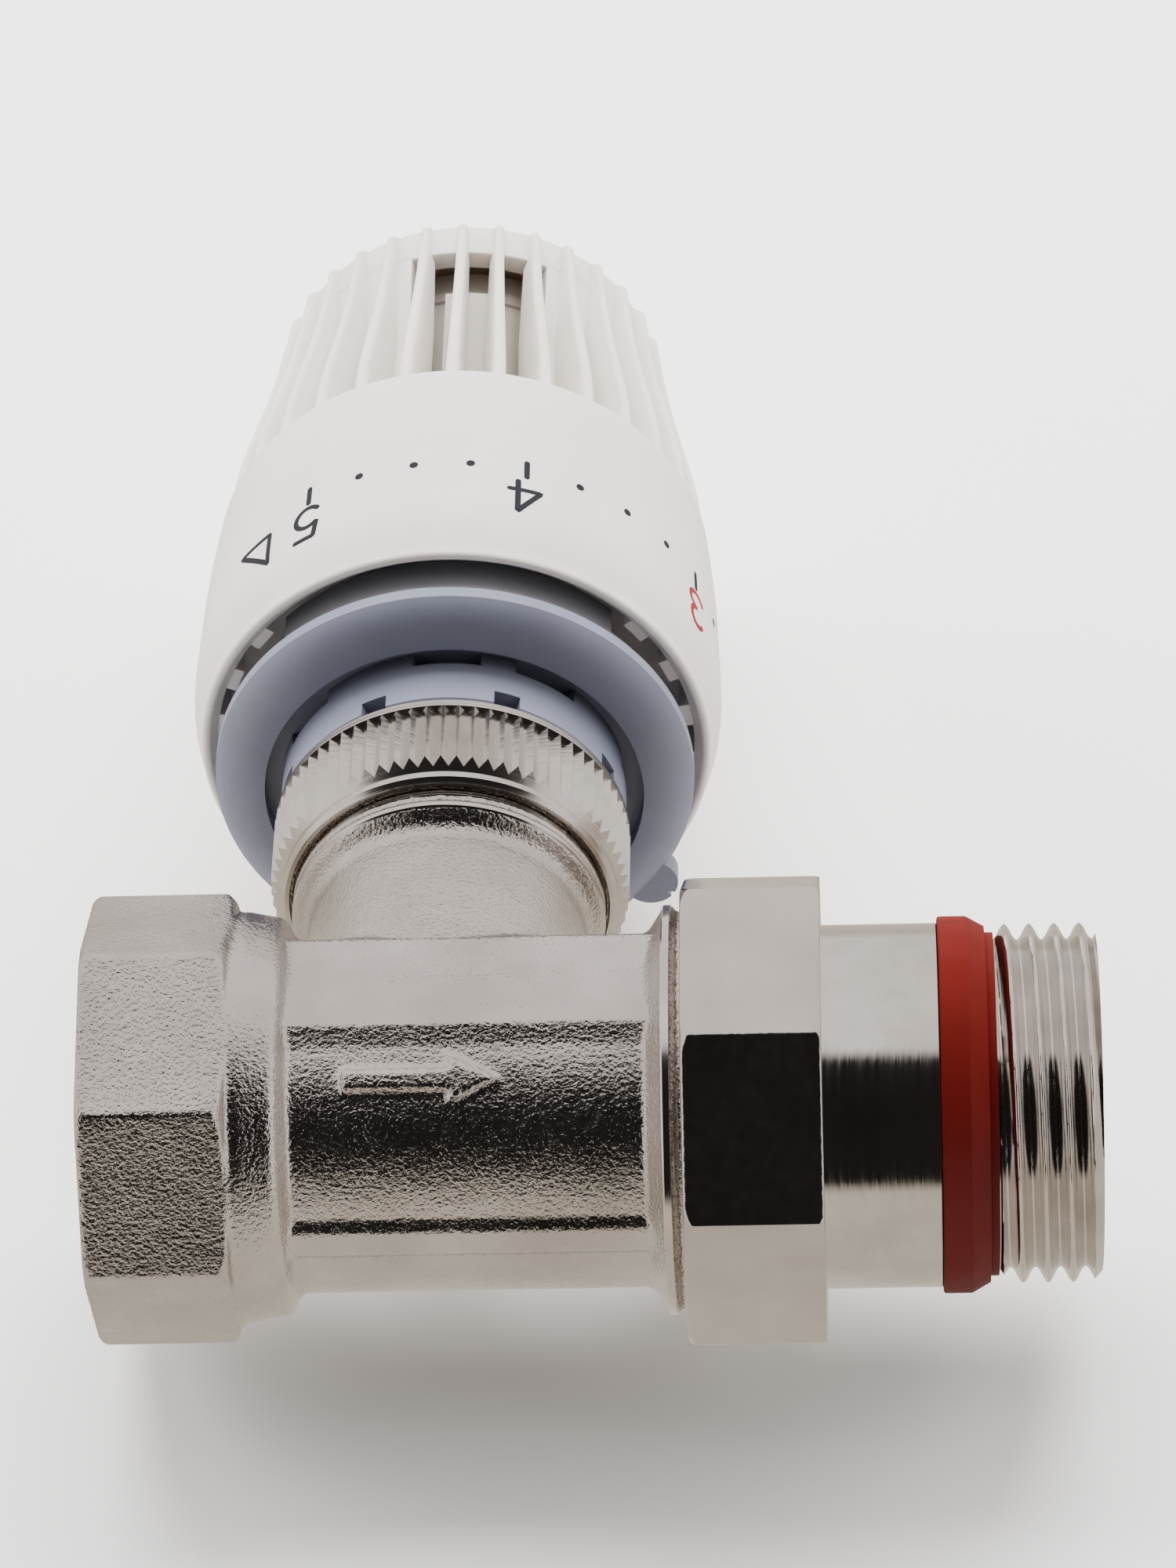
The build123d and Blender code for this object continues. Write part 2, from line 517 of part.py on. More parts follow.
with BuildPart() as sensor_base:
    revolve(head_outline([(SPINDLE_R + 0.1, 75.6), (14.15, 75.6), (14.15, 77.0), (SPINDLE_R + 0.1, 77.0)]),
            axis=HEAD_AXIS)
save(sensor_base.part, "sensor_base")

with BuildPart() as spring_cup:
    revolve(head_outline([(SPINDLE_R + 0.1, 71.0), (6.6, 71.0), (6.6, 62.0), (7.6, 62.0), (7.6, 71.0),
                          (12.0, 71.0), (12.0, 72.2), (SPINDLE_R + 0.1, 72.2)]), axis=HEAD_AXIS)
save(spring_cup.part, "spring_cup")

save(coil(5, 9.6, 0.9, 54.95, 70.05), "overtravel_spring")

with BuildPart() as transmission_pin:
    revolve(head_outline([(0, 42.1), (4.6, 42.1), (4.6, 44.4), (SPINDLE_R, 45.4), (SPINDLE_R, 80.0), (0, 80.0)]),
            axis=HEAD_AXIS)
save(transmission_pin.part, "transmission_pin")
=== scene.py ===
"""The looks of the thermostatic radiator valve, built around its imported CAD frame.

The frame's axes: +X along the flow, +Y along the thermostatic head, +Z up. Sizes of the object are in
millimetres, because threads and wall thicknesses are easier to read so, and mm() turns them into metres.
The stage, the lights and the camera are in metres.
"""
import bmesh
import bpy
import numpy as np
from math import atan2, cos, pi, radians, sin
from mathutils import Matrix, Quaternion, Vector


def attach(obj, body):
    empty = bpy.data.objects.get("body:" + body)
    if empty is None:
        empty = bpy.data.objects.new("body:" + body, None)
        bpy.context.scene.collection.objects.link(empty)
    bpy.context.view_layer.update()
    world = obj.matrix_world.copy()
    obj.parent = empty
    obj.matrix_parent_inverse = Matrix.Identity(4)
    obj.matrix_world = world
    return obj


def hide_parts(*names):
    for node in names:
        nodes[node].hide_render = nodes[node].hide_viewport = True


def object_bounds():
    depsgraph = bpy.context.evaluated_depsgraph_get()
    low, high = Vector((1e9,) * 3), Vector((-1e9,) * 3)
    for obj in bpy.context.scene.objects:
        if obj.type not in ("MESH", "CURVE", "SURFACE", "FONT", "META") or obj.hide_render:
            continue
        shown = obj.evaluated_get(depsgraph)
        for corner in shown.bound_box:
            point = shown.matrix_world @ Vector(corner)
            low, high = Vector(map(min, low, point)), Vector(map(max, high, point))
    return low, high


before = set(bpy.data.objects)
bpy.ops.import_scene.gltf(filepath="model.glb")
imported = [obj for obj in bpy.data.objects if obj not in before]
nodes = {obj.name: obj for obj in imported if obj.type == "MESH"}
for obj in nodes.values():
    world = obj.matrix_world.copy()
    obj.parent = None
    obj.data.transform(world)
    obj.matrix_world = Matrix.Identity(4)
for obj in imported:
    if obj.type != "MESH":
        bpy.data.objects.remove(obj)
cad_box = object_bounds()

HEAD_X = 32.0              # the head's axis along the waterway


def mm(value):
    """Millimetres to metres."""
    return value * 0.001


# ---------------------------------------------------------------- mesh helpers
def new_object(name, verts, faces, smooth_angle=35.0):
    """A mesh object from millimetre vertices, smooth except across sharp edges."""
    mesh = bpy.data.meshes.new(name)
    mesh.from_pydata([tuple(v) for v in mm(np.asarray(verts, float))], [], faces)
    mesh.validate()
    mesh.update()
    obj = bpy.data.objects.new(name, mesh)
    bpy.context.scene.collection.objects.link(obj)
    smooth(obj, smooth_angle)
    return obj


def smooth(obj, angle):
    """Smooth shading that keeps edges sharper than angle."""
    mesh = obj.data
    mesh.polygons.foreach_set("use_smooth", [True] * len(mesh.polygons))
    mesh.set_sharp_from_angle(angle=radians(angle))
    mesh.update()


def fix_normals(obj):
    """Make the faces of every closed shell point outwards."""
    work = bmesh.new()
    work.from_mesh(obj.data)
    bmesh.ops.recalc_face_normals(work, faces=work.faces)
    work.to_mesh(obj.data)
    work.free()
    obj.data.update()


def closed_object(name, shells, smooth_angle):
    """One object from closed shells, each a (verts, faces) pair, with its normals outwards."""
    obj = new_object(name, *join_parts(shells), smooth_angle)
    fix_normals(obj)
    smooth(obj, smooth_angle)
    return obj


def join_parts(parts):
    """Several (verts, faces) pairs as one."""
    verts, faces, start = [], [], 0
    for part_verts, part_faces in parts:
        verts.extend(part_verts)
        faces.extend([tuple(i + start for i in face) for face in part_faces])
        start += len(part_verts)
    return verts, faces


def rounded(points, radius, steps=4):
    """A closed outline with each corner rounded; radius is one number or one for each corner."""
    count = len(points)
    radii = [radius] * count if isinstance(radius, (int, float)) else list(radius)
    nearly_straight = radians(172)
    result = []
    for i in range(count):
        corner = np.array(points[i], float)
        before = np.array(points[i - 1], float) - corner
        after = np.array(points[(i + 1) % count], float) - corner
        reach_before, reach_after = np.linalg.norm(before), np.linalg.norm(after)
        before, after = before / reach_before, after / reach_after
        turn = np.arccos(np.clip(before @ after, -1, 1))
        if radii[i] <= 0 or turn > nearly_straight:
            result.append(tuple(corner))
            continue
        # a corner takes at most 0.45 of each side, so that two neighbours never meet
        cut = min(radii[i] / np.tan(turn / 2), 0.45 * reach_before, 0.45 * reach_after)
        real = cut * np.tan(turn / 2)
        middle = before + after
        centre = corner + middle / np.linalg.norm(middle) * real / np.sin(turn / 2)
        start, end = corner + before * cut - centre, corner + after * cut - centre
        for step in range(steps + 1):
            share = step / steps
            blend = start * (1 - share) + end * share
            result.append(tuple(centre + blend / np.linalg.norm(blend) * real))
    return result


def place(radius, along, angle, around="head"):
    """A point at an angle: round the head from +Z towards +X, round the flow from +Y towards +Z."""
    if around == "head":
        return (HEAD_X + radius * sin(angle), along, radius * cos(angle))
    return (along, radius * cos(angle), radius * sin(angle))


def off_radius(radial, across, y, direction):
    """A point round the head, moved sideways off its radius by across."""
    return (HEAD_X + radial * sin(direction) + across * cos(direction), y,
            radial * cos(direction) - across * sin(direction))


def skin(rows, size, steps):
    """Quads between neighbouring rows of size points; after the last row comes the first again."""
    faces = []
    for step in range(steps):
        here, there = step * size, ((step + 1) % rows) * size
        for i in range(size):
            j = (i + 1) % size
            faces.append((here + i, here + j, there + j, there + i))
    return faces


def end_faces(size, rows):
    """The two faces that close the first and the last of some rows of size points."""
    return [tuple(range(size))[::-1], tuple(range((rows - 1) * size, rows * size))]


def turned(profile, segments=192, around="head", start=0.0, sweep=360.0):
    """A ring from a closed outline of (radius, along) points, about the head's or the flow's axis."""
    full = sweep == 360.0
    rows = segments if full else segments + 1
    verts = []
    for step in range(rows):
        angle = radians(start + sweep * step / segments)
        for radius, along in profile:
            verts.append(place(radius, along, angle, around))
    faces = skin(rows, len(profile), segments)
    if not full:
        faces += end_faces(len(profile), rows)
    return verts, faces


# the faces of a block whose corners go round its low end, then round its high end
BLOCK_FACES = [(0, 1, 2, 3), (7, 6, 5, 4), (0, 4, 5, 1), (1, 5, 6, 2), (2, 6, 7, 3), (3, 7, 4, 0)]


# ---------------------------------------------------------------- materials
class Shader:
    """A Principled material with short ways to add nodes."""

    def __init__(self, name, color, metallic=0.0, roughness=0.5, **values):
        self.material = bpy.data.materials.new(name)
        self.material.use_nodes = True
        self.tree = self.material.node_tree
        self.principled = self.tree.nodes["Principled BSDF"]
        self.set("Base Color", (*color, 1.0))
        self.set("Metallic", metallic)
        self.set("Roughness", roughness)
        for key, value in values.items():
            self.set(key.replace("_", " "), value)
        self.coords = self.tree.nodes.new("ShaderNodeTexCoord").outputs["Object"]
        self.bump_end = None

    def set(self, socket, value):
        self.principled.inputs[socket].default_value = value

    def node(self, kind, **inputs):
        """A node whose inputs are linked to sockets or set to values."""
        made = self.tree.nodes.new(kind)
        for key, value in inputs.items():
            socket = made.inputs[key.replace("_", " ")]
            if isinstance(value, bpy.types.NodeSocket):
                self.tree.links.new(value, socket)
            else:
                socket.default_value = value
        return made

    def stretched(self, scale):
        """The object's coordinates, scaled along each axis."""
        return self.node("ShaderNodeMapping", Vector=self.coords, Scale=scale).outputs["Vector"]

    def noise(self, scale, detail=2.0, roughness=0.5, vector=None):
        made = self.node("ShaderNodeTexNoise", Vector=vector or self.coords, Scale=scale, Detail=detail,
                         Roughness=roughness)
        return made.outputs["Fac"]

    def ramp(self, value, low_stop, high_stop):
        """A colour between two (position, colour) stops."""
        made = self.node("ShaderNodeValToRGB", Fac=value)
        for element, (position, color) in zip(made.color_ramp.elements, (low_stop, high_stop)):
            element.position = position
            element.color = (*color, 1.0)
        return made.outputs["Color"]

    def spread(self, value, low, high):
        """The middle of a noise's values, 0.3 to 0.7, stretched over low to high."""
        made = self.node("ShaderNodeMapRange", Value=value)
        made.inputs["From Min"].default_value = 0.3
        made.inputs["From Max"].default_value = 0.7
        made.inputs["To Min"].default_value = low
        made.inputs["To Max"].default_value = high
        return made.outputs["Result"]

    def bump(self, height, strength, distance):
        """One more layer of relief over those before it."""
        made = self.node("ShaderNodeBump", Strength=strength, Distance=distance, Height=height)
        if self.bump_end is not None:
            self.tree.links.new(self.bump_end, made.inputs["Normal"])
        self.bump_end = made.outputs["Normal"]
        self.tree.links.new(self.bump_end, self.principled.inputs["Normal"])

    def link(self, output, socket):
        self.tree.links.new(output, self.principled.inputs[socket])


def blasted_nickel(name, grain_depth, wave_depth, low, high):
    """Nickel plate over sand-blasted forged brass: warm and grainy, with soft darker clouds."""
    shader = Shader(name, high, 1.0, 0.2)
    grain = shader.noise(2700, 2.0, 0.55)
    fine = shader.noise(6400, 1.0, 0.5)
    waves = shader.noise(260, 2.0, 0.5)
    clouds = shader.noise(75, 3.0, 0.6)
    shader.link(shader.ramp(clouds, (0.34, low), (0.66, high)), "Base Color")
    shader.link(shader.spread(shader.noise(900, 2.0, 0.55), 0.12, 0.20), "Roughness")
    shader.bump(waves, wave_depth, 0.0003)
    shader.bump(grain, grain_depth, 0.00022)
    shader.bump(fine, 0.5 * grain_depth, 0.00006)
    return shader.material


def turned_nickel(name, along, roughness):
    """Nickel plate over fine-turned brass, with hair-fine tool rings square to the axis given."""
    shader = Shader(name, (0.50, 0.46, 0.42), 1.0, roughness)
    scale = (9000, 40, 40) if along == "X" else (40, 9000, 40)
    rings = shader.noise(1.0, 3.0, 0.7, shader.stretched(scale))
    coarse = tuple(value / 6 for value in scale)
    bands = shader.noise(1.0, 2.0, 0.6, shader.stretched(coarse))
    stains = shader.noise(120, 4.0, 0.6)
    shader.link(shader.ramp(stains, (0.35, (0.53, 0.492, 0.46)), (0.65, (0.64, 0.602, 0.57))), "Base Color")
    shader.link(shader.spread(bands, roughness - 0.04, roughness + 0.05), "Roughness")
    shader.bump(bands, 0.55, 0.00005)
    shader.bump(rings, 0.3, 0.000025)
    shader.bump(shader.noise(420, 2.0, 0.5), 0.08, 0.0001)
    return shader.material


def moulded(name, low, high, roughness, grain=4200, strength=0.12, **values):
    """A moulded plastic: faint cloudy colour, fine mould texture, gently uneven gloss."""
    shader = Shader(name, high, 0.0, roughness, **values)
    clouds = shader.noise(90, 3.0, 0.55)
    shader.link(shader.ramp(clouds, (0.3, low), (0.7, high)), "Base Color")
    shader.link(shader.spread(shader.noise(260, 3.0, 0.6), roughness - 0.05, roughness + 0.05), "Roughness")
    shader.bump(shader.noise(55, 2.0, 0.5), 0.05, 0.0004)
    shader.bump(shader.noise(grain, 2.0, 0.6), strength, 0.00003)
    return shader.material


def bare_metal(name, low, high, roughness, metallic=1.0):
    """A bare metal with drawn or turned lines square to the head's axis."""
    shader = Shader(name, high, metallic, roughness)
    lines = shader.noise(1.0, 3.0, 0.7, shader.stretched((200, 6000, 200)))
    clouds = shader.noise(160, 3.0, 0.6)
    shader.link(shader.ramp(clouds, (0.3, low), (0.7, high)), "Base Color")
    shader.link(shader.spread(lines, roughness - 0.06, roughness + 0.06), "Roughness")
    shader.bump(lines, 0.15, 0.00003)
    return shader.material


def ink(name, color):
    """Pad-printed ink: slightly uneven, with a soft gloss."""
    shader = Shader(name, color, 0.0, 0.6, Specular_IOR_Level=0.25)
    darker = tuple(0.8 * c for c in color)
    shader.link(shader.ramp(shader.noise(2600, 3.0, 0.6), (0.3, darker), (0.75, color)), "Base Color")
    shader.bump(shader.noise(5200, 2.0, 0.6), 0.15, 0.00002)
    return shader.material


blasted = blasted_nickel("blasted_nickel", 0.60, 0.3, (0.49, 0.452, 0.425), (0.62, 0.575, 0.545))
tumbled = blasted_nickel("tumbled_nickel", 0.16, 0.03, (0.50, 0.461, 0.432), (0.60, 0.556, 0.525))
turned_x = turned_nickel("turned_nickel_x", "X", 0.11)
turned_y = turned_nickel("turned_nickel_y", "Y", 0.17)
white = moulded("warm_white_plastic", (0.66, 0.618, 0.572), (0.705, 0.668, 0.64), 0.38,
                Subsurface_Weight=0.12, Subsurface_Radius=(0.004, 0.003, 0.002), Subsurface_Scale=0.3)
base_blue = moulded("blue_grey_plastic", (0.145, 0.155, 0.21), (0.17, 0.181, 0.24), 0.42)
# the limit ring's grey is set darker than the plastic alone: partly its own darker grey, partly painted shade
# from the knob's lip over it
grey_with_painted_shade = moulded("grey_plastic_with_painted_shade", (0.17, 0.17, 0.185), (0.21, 0.21, 0.23), 0.5)
light_grey = moulded("light_grey_plastic", (0.50, 0.475, 0.44), (0.56, 0.53, 0.49), 0.48)
red_rubber = moulded("red_silicone", (0.08, 0.0036, 0.0024), (0.10, 0.0045, 0.003), 0.6, 2600, 0.25,
                     Specular_IOR_Level=0.12)
black_rubber = moulded("black_rubber", (0.018, 0.018, 0.019), (0.028, 0.028, 0.03), 0.55, 2600, 0.3)
fibre = moulded("pressed_fibre", (0.12, 0.17, 0.12), (0.20, 0.26, 0.19), 0.75, 1500, 0.6)
brass = bare_metal("turned_brass", (0.66, 0.49, 0.22), (0.80, 0.62, 0.33), 0.26)
steel = bare_metal("drawn_steel", (0.50, 0.50, 0.51), (0.62, 0.62, 0.63), 0.28)
sensor_metal = bare_metal("sensor_metal", (0.36, 0.33, 0.29), (0.43, 0.40, 0.36), 0.42, 0.25)
charcoal_ink = ink("charcoal_ink", (0.012, 0.013, 0.018))
red_ink = ink("red_ink", (0.26, 0.008, 0.014))

NODE_MATERIALS = {
    "valve_body": blasted, "union_nut": tumbled, "union_tail": turned_x, "knurled_nut": turned_y,
    "tail_seal": red_rubber, "union_gasket": fibre,
    "insert_bonnet": brass, "gland_nut": brass, "disc_holder": brass, "disc_washer": brass, "disc_nut": brass,
    "insert_o_ring": black_rubber, "gland_o_rings": black_rubber, "disc_seal": black_rubber,
    "return_spring": steel, "overtravel_spring": steel, "push_pin": steel, "spindle": steel,
    "spindle_clip": steel, "nut_retaining_ring": steel, "knob_retaining_ring": steel,
    "head_base": base_blue, "limit_ring": grey_with_painted_shade, "knob": white, "end_cap": white,
    "sensor_carrier": light_grey, "spring_cup": light_grey, "transmission_pin": light_grey,
    "sensor_base": light_grey, "sensor_can": sensor_metal,
}
for node_name, node_material in NODE_MATERIALS.items():
    node_slots = nodes[node_name].data.materials
    node_slots.clear()
    node_slots.append(node_material)


def finish_piece(obj, body, material, slot, *replaced):
    """Give a new piece its material, its body and the CAD nodes it stands for; slot is not used."""
    obj.data.materials.clear()
    obj.data.materials.append(material)
    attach(obj, body)
    if replaced:
        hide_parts(*replaced)


# ---------------------------------------------------------------- knob
COLLAR_TOP = 80.3
KNOB_TOP = 112.0
RIB_COUNT = 32
RIB_FOOT = COLLAR_TOP - 0.6            # ribs start inside the collar
RIB_END = 110.2                        # above it a rib's outer edge rounds over
SKIRT_Y = [51.9, 55.0, 62.0, 71.0, COLLAR_TOP]
SKIRT_R = [25.0, 25.75, 25.93, 25.55, 24.7]
RIB_Y = [RIB_FOOT, 84.0, 88.6, 96.5, 104.5, 110.0]
RIB_R = [24.62, 24.2, 23.4, 21.8, 20.5, 19.85]
WALL_LOW, WALL_HIGH = 81.0, 107.0      # the wall between the ribs
WALL_Y = [WALL_LOW, 95.0, WALL_HIGH]
WALL_R = [19.1, 18.3, 18.9]
WALL_SINK = 0.9                        # how far a rib's root reaches into the wall
WINDOW_CENTRE, WINDOW_WIDTH = 5.6, 43.0            # degrees; a window in each quarter of the wall
GRIP_COUNT, GRIP_STEP = 12, 15                     # blocks inside the skirt's mouth, six on each side


def curve_through(xs, ys):
    """A smooth cubic through the points given (natural ends)."""
    xs, ys = np.array(xs, float), np.array(ys, float)
    count = len(xs)
    gaps = np.diff(xs)
    system, right = np.eye(count), np.zeros(count)
    for i in range(1, count - 1):
        system[i, i - 1:i + 2] = gaps[i - 1], 2 * (gaps[i - 1] + gaps[i]), gaps[i]
        right[i] = 3 * ((ys[i + 1] - ys[i]) / gaps[i] - (ys[i] - ys[i - 1]) / gaps[i - 1])
    bend = np.linalg.solve(system, right)

    def value(x):
        i = int(np.clip(np.searchsorted(xs, x) - 1, 0, count - 2))
        step = x - xs[i]
        slope = (ys[i + 1] - ys[i]) / gaps[i] - gaps[i] * (2 * bend[i] + bend[i + 1]) / 3
        cubic = (bend[i + 1] - bend[i]) / (3 * gaps[i])
        return float(ys[i] + slope * step + bend[i] * step ** 2 + cubic * step ** 3)
    return value


skirt_radius = curve_through(SKIRT_Y, SKIRT_R)
rib_radius = curve_through(RIB_Y, RIB_R)


def wall_radius(y):
    """The recessed wall between the ribs."""
    return float(np.interp(y, WALL_Y, WALL_R))


def rib_blade(degrees_round):
    """One rib: a blade with a round outer edge, drafted sides and a rounded end."""
    steps, end_steps, edge_steps = 40, 8, 8
    end_rise, end_drop = 1.55, 1.5
    rows = []
    for i in range(steps + 1):
        y = RIB_FOOT + (RIB_END - RIB_FOOT) * i / steps
        rows.append((y, rib_radius(y), wall_radius(y) - WALL_SINK))
    for i in range(1, end_steps + 1):
        turn = i / end_steps * pi / 2
        rows.append((RIB_END + end_rise * sin(turn), rib_radius(RIB_END) - end_drop * (1 - cos(turn)),
                     wall_radius(WALL_HIGH) - WALL_SINK))
    direction = radians(degrees_round)
    verts = []
    for y, outer, inner in rows:
        half = np.interp(y, [COLLAR_TOP, 88, 111], [0.66, 0.60, 0.48])
        ring = []
        for i in range(edge_steps + 1):
            turn = -pi / 2 + pi * i / edge_steps
            ring.append((outer - half + half * cos(turn), half * sin(turn)))
        root = half + 0.22
        ring += [(inner, root), (inner, -root)]
        verts += [off_radius(radial, across, y, direction) for radial, across in ring]
    size = edge_steps + 3
    return verts, skin(len(rows), size, len(rows) - 1) + end_faces(size, len(rows))


def grip_block(degrees_round, radius=22.95, y_low=52.4, y_high=58.2, radial=1.1, across=2.6):
    """A small block inside the skirt's mouth, with its long side across the radius."""
    corners = [(radius - radial / 2, -across / 2), (radius + radial / 2, -across / 2),
               (radius + radial / 2, across / 2), (radius - radial / 2, across / 2)]
    verts = [off_radius(r, t, y, radians(degrees_round)) for y in (y_low, y_high) for r, t in corners]
    return verts, BLOCK_FACES


def knob_shell():
    """The skirt, its lip, its shoulder and the sleeve that runs on the head's base."""
    skirt = [(skirt_radius(y), y) for y in np.linspace(52.2, COLLAR_TOP - 0.35, 40)]
    lip = [(24.55 + 0.5 * cos(t), 51.85 - 0.55 * sin(t)) for t in np.linspace(pi * 0.93, 0.12, 9)]
    inside = [(24.62, COLLAR_TOP), (19.2, 80.8), (19.1, 81.9), (17.1, 81.9), (18.0, 79.0), (22.4, 77.5),
              (23.4, 71.0), (23.5, 60.0), (20.2, 60.0), (20.2, 74.0), (18.6, 74.0), (18.6, 62.2),
              (16.07, 62.2), (16.07, 58.0), (23.4, 58.0)]
    radii = [0.1] + [0] * (len(lip) + len(skirt)) + [0.28, 0.5, 0, 0, 0.4, 0.5, 0.4] + [0.2] * 8
    return turned(rounded([(23.4, 52.4), *lip, *skirt, *inside], radii, 5), 256)


def knob_ring():
    """The ring that joins the ribs at the far end and carries the end cap."""
    outline = [(17.0, WALL_HIGH), (18.9, WALL_HIGH), (18.95, 109.5), (18.85, 111.4), (18.3, KNOB_TOP),
               (16.6, KNOB_TOP), (16.6, 111.1), (15.6, 111.1), (15.6, 110.2)]
    return turned(rounded(outline, [0.1, 0.25, 0.6, 0.8, 0.3, 0.2, 0.1, 0.1, 0.2]), 256)


def knob_wall(quarter):
    """The wall behind the ribs from one window to the next."""
    heights = [81.4, 88.0, 95.0, 101.0, 107.5]
    outline = [(wall_radius(y), y) for y in heights] + [(wall_radius(y) - 1.4, y) for y in heights[::-1]]
    start = WINDOW_CENTRE + WINDOW_WIDTH / 2 + 90 * quarter
    return turned(outline, 40, "head", start, 90 - WINDOW_WIDTH)


def make_knob():
    shells = [knob_shell(), knob_ring()]
    shells += [knob_wall(quarter) for quarter in range(4)]
    shells += [rib_blade(step * 360 / RIB_COUNT) for step in range(RIB_COUNT)]
    for step in range(GRIP_COUNT):
        side_start = 45 if step < GRIP_COUNT / 2 else 135
        shells.append(grip_block((step + 0.5) * GRIP_STEP + side_start))
    knob = closed_object("setting_knob", shells, 32)
    finish_piece(knob, "knob", white, "white_plastic", "knob")


make_knob()


# ---------------------------------------------------------------- dial printing
DIAL_R = 25.9              # the skirt's radius where the dial is printed, for widths along its round
PER_DEGREE = DIAL_R * pi / 180
INK_SINK, INK_PROUD = -0.08, 0.03


def stroke_ends(centre, direction, half):
    """The points of a stroke's round end, without the two that its sides already have."""
    base = atan2(direction[1], direction[0])
    return [(centre[0] + half * cos(base + t), centre[1] + half * sin(base + t))
            for t in np.linspace(pi / 2, -pi / 2, 7)[1:-1]]


def ribbon(points, width):
    """A printed stroke along (degrees, Y) points on the skirt, as a thin raised band with round ends."""
    flat = np.array([(a * PER_DEGREE, y) for a, y in points], float)
    lengths = np.r_[0, np.cumsum(np.linalg.norm(np.diff(flat, axis=0), axis=1))]
    count = max(2, int(lengths[-1] / 0.18) + 1)
    along = np.linspace(0, lengths[-1], count)
    path = np.c_[np.interp(along, lengths, flat[:, 0]), np.interp(along, lengths, flat[:, 1])]
    tangent = np.gradient(path, axis=0)
    tangent /= np.linalg.norm(tangent, axis=1)[:, None]
    side = np.c_[-tangent[:, 1], tangent[:, 0]]
    half = width / 2
    left = [tuple(p + s * half) for p, s in zip(path, side)]
    right = [tuple(p - s * half) for p, s in zip(path, side)]
    far_end = stroke_ends(path[-1], tangent[-1], half)
    loop = left + far_end + right[::-1] + stroke_ends(path[0], -tangent[0], half)
    size = top = len(loop)
    verts = [place(skirt_radius(y) + lift, y, u / DIAL_R) for lift in (INK_SINK, INK_PROUD) for u, y in loop]

    # strips across the band, so that it bends round the skirt; facing[i] is opposite left-hand point i
    facing = [2 * count + len(far_end) - 1 - i for i in range(count)]
    faces = []
    for i in range(count - 1):
        faces.append((top + i, top + i + 1, top + facing[i + 1], top + facing[i]))
        faces.append((i, facing[i], facing[i + 1], i + 1))
    for end in (list(range(count - 1, facing[-1] + 1)), list(range(facing[0], size)) + [0]):
        faces.append(tuple(top + i for i in end[::-1]))
        faces.append(tuple(end))
    for i in range(size):
        j = (i + 1) % size
        faces.append((i, j, top + j, top + i))
    return verts, faces


def arc(cx, cy, rx, ry, start, end, steps=22):
    """Points on an ellipse's arc, in degrees."""
    return [(cx + rx * cos(radians(t)), cy + ry * sin(radians(t))) for t in np.linspace(start, end, steps)]


# each digit's strokes in a box 1 wide and BOX_HEIGHT tall, its foot at 0
BOX_HEIGHT = 1.55
DIGITS = {
    "1": [[(0.25, 1.2), (0.6, 1.55), (0.6, 0.0)]],
    "2": [arc(0.5, 1.08, 0.45, 0.47, 165, -28) + [(0.06, 0.0), (0.98, 0.0)]],
    "3": [arc(0.46, 1.15, 0.40, 0.40, 150, -90, 20) + arc(0.46, 0.38, 0.47, 0.38, 88, -150, 22)],
    "4": [[(0.78, 0.0), (0.78, 1.55), (0.02, 0.45), (1.05, 0.45)]],
    "5": [[(0.92, 1.55), (0.22, 1.55), (0.12, 0.85)] + arc(0.48, 0.50, 0.46, 0.50, 128, -140, 24)],
}
STEP = 49.3                # degrees of turn for one setting
FIVE_ANGLE = -31.7         # where the tick of setting 5 stands at rest
DIGIT_FOOT = 62.3          # digits stand head down: their feet are nearer the ribs
DIGIT_HEIGHT = 4.7
STROKE, DOT = 0.58, 0.85   # the widths of the printed strokes and dots
TICK_LOW, TICK_HIGH = 63.1, 65.4
DOT_LOW, DOT_HIGH = 64.15, 64.25
WEDGE_THIN, WEDGE_WIDE = -42.5, 9.5    # degrees: the wedge's upright end and its length
WEDGE_LOW, WEDGE_HIGH = 57.6, 62.0


def setting_angle(setting):
    """Where a setting's tick stands at rest, in degrees."""
    return FIVE_ANGLE + (5 - setting) * STEP


def digit_strokes(setting):
    """The strokes of a setting's digit as (degrees, Y) points, its top towards the skirt's mouth."""
    scale = DIGIT_HEIGHT / BOX_HEIGHT
    return [[(setting_angle(setting) - (x - 0.5) * scale / PER_DEGREE, DIGIT_FOOT - y * scale)
             for x, y in stroke] for stroke in DIGITS[str(setting)]]


def print_piece(name, strokes, width, material):
    piece = new_object(name, *join_parts([ribbon(stroke, width) for stroke in strokes]), smooth_angle=40)
    fix_normals(piece)
    finish_piece(piece, "knob", material, "grey_plastic")


dark_strokes = []
for setting in (1, 2, 4, 5):
    dark_strokes += digit_strokes(setting)
for setting in range(1, 6):
    dark_strokes.append([(setting_angle(setting), TICK_LOW), (setting_angle(setting), TICK_HIGH)])
# a plain wedge beside 5, where the object has a small sign
dark_strokes.append([(WEDGE_THIN, WEDGE_LOW), (WEDGE_THIN - WEDGE_WIDE, WEDGE_HIGH), (WEDGE_THIN, WEDGE_HIGH),
                     (WEDGE_THIN, WEDGE_LOW)])
print_piece("dial_marks", dark_strokes, STROKE, charcoal_ink)
print_piece("dial_three", digit_strokes(3), STROKE, red_ink)

dots = []
for setting in range(0, 5):
    for quarter in (1, 2, 3):
        dot = setting_angle(setting) - quarter * STEP / 4
        dots.append([(dot, DOT_LOW), (dot + 0.02, DOT_HIGH)])
print_piece("dial_dots", dots, DOT, charcoal_ink)


# ---------------------------------------------------------------- tail with its pipe thread
THREAD_PITCH = 2.309
THREAD_CREST, THREAD_ROOT = 16.62, 15.16
THREAD_LOW, THREAD_HIGH = 83.6, 92.1   # the run-out's start, and where the first turn is cut back
TAIL_BORE = 12.5


